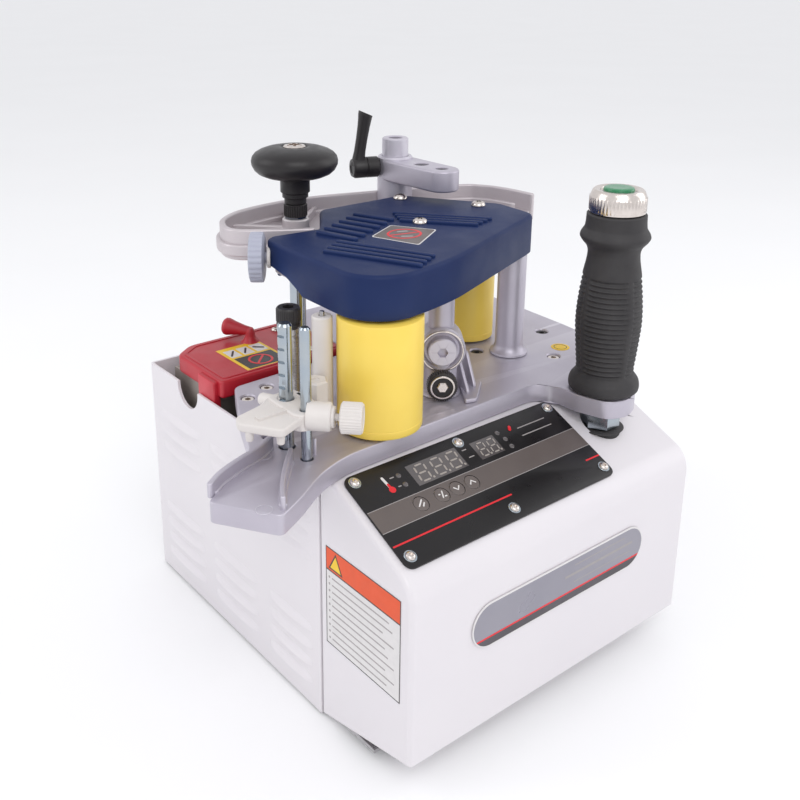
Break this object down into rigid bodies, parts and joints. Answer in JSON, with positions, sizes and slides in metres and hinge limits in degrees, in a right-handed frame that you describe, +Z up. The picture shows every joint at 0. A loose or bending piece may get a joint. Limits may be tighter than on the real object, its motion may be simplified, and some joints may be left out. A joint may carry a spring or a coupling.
{
  "type": "edge banding machine",
  "caption": "Portable edge banding machine: sloped-front casing, cast table with feed rollers under a blue guard, tape tray, glue pot, tape guide and a trigger handle.",
  "frame": {"origin": "on the bench, under the middle of the whole machine's bounding box", "axes": "+X to the operator's right along the control panel, +Y away from the operator towards the back wall, +Z up"},
  "size_m": [0.3392, 0.2872, 0.3346],
  "materials": {
    "casing_paint": "smooth warm white powder coat, slightly glossy",
    "cast_aluminium": "satin painted casting, lilac grey",
    "zinc": "bright zinc plate with a bluish tint",
    "steel": "plain machined steel",
    "dark_steel": "dark glue-stained plate",
    "guard_blue": "fine-grained navy blue moulding",
    "roller_rubber": "pale yellow polyurethane, satin",
    "lid_red": "crimson painted casting, satin",
    "white_nylon": "off-white machined nylon",
    "black_plastic": "black moulding, satin",
    "black_rubber": "black soft rubber",
    "grey_plastic": "grey-blue satin moulding",
    "panel_film": "black printed film",
    "key_film": "grey printed membrane key",
    "button_green": "green push button",
    "circuit_board": "green solder resist",
    "belt_rubber": "black drive belt"
  },
  "bodies": {
    "machine": {"rear_casing": "casing_paint", "front_cover": "casing_paint", "base_pan": "steel", "foot_front_left": "black_rubber", "foot_front_right": "black_rubber", "foot_rear_left": "black_rubber", "foot_rear_right": "black_rubber", "mains_inlet": "black_plastic", "switch_housing": "black_plastic", "control_overlay": "panel_film", "display_board": "circuit_board", "name_badge": "grey_plastic", "cast_table": "cast_aluminium", "gearmotor": "steel", "drive_belt": "belt_rubber", "guide_roller_pin": "zinc", "glue_pot": "dark_steel", "pot_heater": "steel", "pot_support": "steel", "lid_hinge": "steel", "cutter_bracket": "cast_aluminium", "tape_blades": "cast_aluminium", "rack_rod": "zinc", "guide_rod": "zinc", "roller_guard": "guard_blue", "head_casting": "cast_aluminium", "right_post": "cast_aluminium", "left_post": "zinc", "clamp_tube": "cast_aluminium", "handle_tube": "zinc", "handle_grip": "black_rubber", "button_bezel": "zinc", "handle_grommet": "black_rubber"},
    "front_roller": {"front_roller_sleeve": "roller_rubber", "front_roller_shaft": "steel", "front_pulley": "steel", "front_gear": "steel"},
    "rear_roller": {"rear_roller_sleeve": "roller_rubber", "rear_roller_shaft": "steel", "rear_pulley": "steel"},
    "motor": {"motor_pulley": "steel"},
    "glue_roller": {"glue_roller": "steel", "glue_roller_cap": "black_plastic", "glue_gear": "steel"},
    "guide_roller": {"guide_roller": "white_nylon"},
    "pot_lid": {"pot_lid": "lid_red"},
    "guide": {"guide_block": "white_nylon"},
    "guide_knob": {"guide_knob": "white_nylon"},
    "tension_wheel": {"tension_wheel": "black_plastic"},
    "reel_knob": {"knob_spindle": "zinc", "reel_knob": "black_plastic"},
    "thumbwheel": {"thumbwheel": "grey_plastic"},
    "clamp_arm": {"clamp_arm": "cast_aluminium"},
    "clamp_lever": {"clamp_lever": "black_plastic"},
    "feed_button": {"feed_button": "button_green"},
    "key_1": {"membrane_key_1": "key_film"},
    "key_2": {"membrane_key_2": "key_film"},
    "key_3": {"membrane_key_3": "key_film"},
    "key_4": {"membrane_key_4": "key_film"},
    "rocker": {"rocker_switch": "black_plastic"}
  },
  "joints": [
    {"name": "front_roller_spin", "type": "hinge", "parent": "machine", "child": "front_roller", "pos_m": [-0.04744, -0.05335, 0.21], "axis": [0, 0, 1], "continuous": true},
    {"name": "rear_roller_spin", "type": "hinge", "parent": "machine", "child": "rear_roller", "pos_m": [0.09256, 0.02065, 0.21], "axis": [0, 0, 1], "continuous": true},
    {"name": "motor_spin", "type": "hinge", "parent": "machine", "child": "motor", "pos_m": [0.05156, -0.04235, 0.13], "axis": [0, 0, 1], "continuous": true},
    {"name": "glue_roller_spin", "type": "hinge", "parent": "machine", "child": "glue_roller", "pos_m": [-0.08444, -0.01535, 0.19], "axis": [0, 0, 1], "continuous": true},
    {"name": "guide_roller_spin", "type": "hinge", "parent": "machine", "child": "guide_roller", "pos_m": [-0.07444, -0.03435, 0.21], "axis": [0, 0, 1], "continuous": true},
    {"name": "lid_turn", "type": "hinge", "parent": "machine", "child": "pot_lid", "pos_m": [-0.03944, 0.12365, 0.17], "axis": [-1, 0, 0], "range_deg": [0, 92]},
    {"name": "guide_slide", "type": "slide", "parent": "machine", "child": "guide", "axis": [0, 0, 1], "range_m": [-0.008, 0.036]},
    {"name": "guide_knob_turn", "type": "hinge", "parent": "guide", "child": "guide_knob", "pos_m": [-0.08844, -0.08035, 0.202], "axis": [0.7071, -0.7071, 0], "continuous": true},
    {"name": "tension_wheel_turn", "type": "hinge", "parent": "machine", "child": "tension_wheel", "pos_m": [0.00298, -0.05179, 0.1858], "axis": [0.6, 0.8, 0], "continuous": true},
    {"name": "reel_knob_turn", "type": "hinge", "parent": "machine", "child": "reel_knob", "pos_m": [-0.02044, 0.06965, 0.3], "axis": [0, 0, 1], "continuous": true},
    {"name": "thumbwheel_turn", "type": "hinge", "parent": "machine", "child": "thumbwheel", "pos_m": [-0.07394, 0.03315, 0.262], "axis": [0.7915, -0.6112, 0], "continuous": true},
    {"name": "clamp_arm_swing", "type": "hinge", "parent": "machine", "child": "clamp_arm", "pos_m": [0.07856, 0.08565, 0.29], "axis": [0, 0, 1], "range_deg": [-35, 35]},
    {"name": "clamp_lever_turn", "type": "hinge", "parent": "clamp_arm", "child": "clamp_lever", "pos_m": [0.05976, 0.09249, 0.2915], "axis": [-0.9397, 0.3419, 0], "range_deg": [-60, 60]},
    {"name": "feed_button_press", "type": "slide", "parent": "machine", "child": "feed_button", "axis": [0, 0, -1], "range_m": [0, 0.003], "stiffness_N_per_m": 250, "springref_m": -0.002},
    {"name": "key_1_press", "type": "slide", "parent": "machine", "child": "key_1", "axis": [0, 0.4163, -0.9092], "range_m": [0, 0.0004], "stiffness_N_per_m": 800, "springref_m": -0.0004},
    {"name": "key_2_press", "type": "slide", "parent": "machine", "child": "key_2", "axis": [0, 0.4163, -0.9092], "range_m": [0, 0.0004], "stiffness_N_per_m": 800, "springref_m": -0.0004},
    {"name": "key_3_press", "type": "slide", "parent": "machine", "child": "key_3", "axis": [0, 0.4163, -0.9092], "range_m": [0, 0.0004], "stiffness_N_per_m": 800, "springref_m": -0.0004},
    {"name": "key_4_press", "type": "slide", "parent": "machine", "child": "key_4", "axis": [0, 0.4163, -0.9092], "range_m": [0, 0.0004], "stiffness_N_per_m": 800, "springref_m": -0.0004},
    {"name": "rocker_tilt", "type": "hinge", "parent": "machine", "child": "rocker", "pos_m": [0.03356, 0.13865, 0.046], "axis": [1, 0, 0], "range_deg": [-8, 8]}
  ],
  "couplings": [
    {"joint": "rear_roller_spin", "follows": "front_roller_spin", "ratio": 1},
    {"joint": "motor_spin", "follows": "front_roller_spin", "ratio": 1},
    {"joint": "glue_roller_spin", "follows": "front_roller_spin", "ratio": -4.8889}
  ]
}
